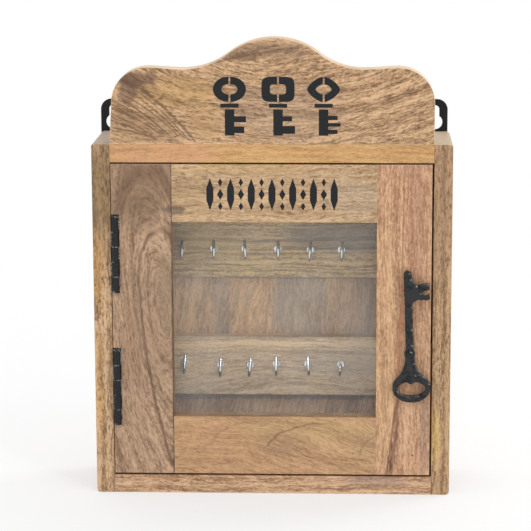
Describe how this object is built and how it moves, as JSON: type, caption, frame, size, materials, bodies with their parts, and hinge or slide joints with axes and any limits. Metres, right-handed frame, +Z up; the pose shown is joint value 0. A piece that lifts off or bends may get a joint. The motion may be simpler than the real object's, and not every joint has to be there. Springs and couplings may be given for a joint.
{
  "type": "key cabinet",
  "caption": "Wall-hung wooden key cabinet with a shaped crest board, a hinged glazed door with a key-shaped iron pull, keyhole hangers, and rails of cup hooks inside.",
  "frame": {"origin": "middle of the box's footprint, on the face it stands on, half way between its front and back edges", "axes": "+X to the right of a person facing the door, +Y to the wall, +Z up"},
  "size_m": [0.3, 0.0916, 0.388],
  "materials": {
    "side_wood": "planed mango wood under a thin clear wax",
    "board_wood": "planed mango wood under a thin clear wax",
    "crest_wood": "planed mango wood with dark streaks under a thin clear wax",
    "back_wood": "greyed plank, unfinished",
    "inner_rail_wood": "planed wood, unfinished",
    "dowel_wood": "fluted beech",
    "door_wood_grey": "grey-brown mango wood under a thin clear wax",
    "door_wood_pink": "pinkish tan mango wood with reddish streaks",
    "door_wood_tan": "tan mango wood under a thin clear wax",
    "door_wood_warm": "warm brown mango wood under a thin clear wax",
    "bead_wood": "sawn wood strip",
    "bright_hook": "bright zinc plate",
    "zinc_steel": "dull zinc plate",
    "black_paint": "satin black enamel, slightly worn",
    "black_iron": "hammered cast iron, black and slightly glossy",
    "catch_plastic": "moulded brown plastic",
    "magnet_dark": "sintered ferrite",
    "clear_glass": "clear float glass"
  },
  "bodies": {
    "carcass": {"side_panel_left": "side_wood", "side_panel_right": "side_wood", "top_board": "board_wood", "bottom_board": "board_wood", "back_panel": "back_wood", "crest_board": "crest_wood", "hook_rail_upper": "inner_rail_wood", "hook_rail_lower": "inner_rail_wood", "carcass_dowels": "dowel_wood", "crest_dowels": "dowel_wood", "back_panel_pins": "zinc_steel", "rail_screws": "zinc_steel", "hanger_left": "black_paint", "hanger_right": "black_paint", "hanger_screws": "black_paint", "hinge_upper_frame_leaf": "black_paint", "hinge_lower_frame_leaf": "black_paint", "hinge_upper_pin": "black_paint", "hinge_lower_pin": "black_paint", "hinge_frame_screws": "black_paint", "catch_housing": "catch_plastic", "catch_magnet": "magnet_dark", "catch_pole_plates": "zinc_steel", "catch_screws": "zinc_steel", "hook_upper_1": "bright_hook", "hook_upper_2": "bright_hook", "hook_upper_3": "bright_hook", "hook_upper_4": "bright_hook", "hook_upper_5": "bright_hook", "hook_upper_6": "bright_hook", "hook_lower_1": "bright_hook", "hook_lower_2": "bright_hook", "hook_lower_3": "bright_hook", "hook_lower_4": "bright_hook", "hook_lower_5": "bright_hook", "hook_lower_6": "bright_hook"},
    "door": {"door_stile_hinge": "door_wood_grey", "door_stile_handle": "door_wood_pink", "door_rail_top": "door_wood_tan", "door_rail_bottom": "door_wood_warm", "glass_pane": "clear_glass", "glazing_bead_top": "bead_wood", "glazing_bead_bottom": "bead_wood", "glazing_bead_left": "bead_wood", "glazing_bead_right": "bead_wood", "bead_pins": "zinc_steel", "hinge_upper_door_leaf": "black_paint", "hinge_lower_door_leaf": "black_paint", "hinge_door_screws": "black_paint", "key_handle": "black_iron", "key_handle_screws": "black_iron", "strike_plate": "zinc_steel", "strike_screw": "zinc_steel"}
  },
  "joints": [
    {"name": "door_hinge", "type": "hinge", "parent": "carcass", "child": "door", "pos_m": [-0.1309, -0.041, 0.15], "axis": [0, 0, -1], "range_deg": [0, 180]}
  ]
}
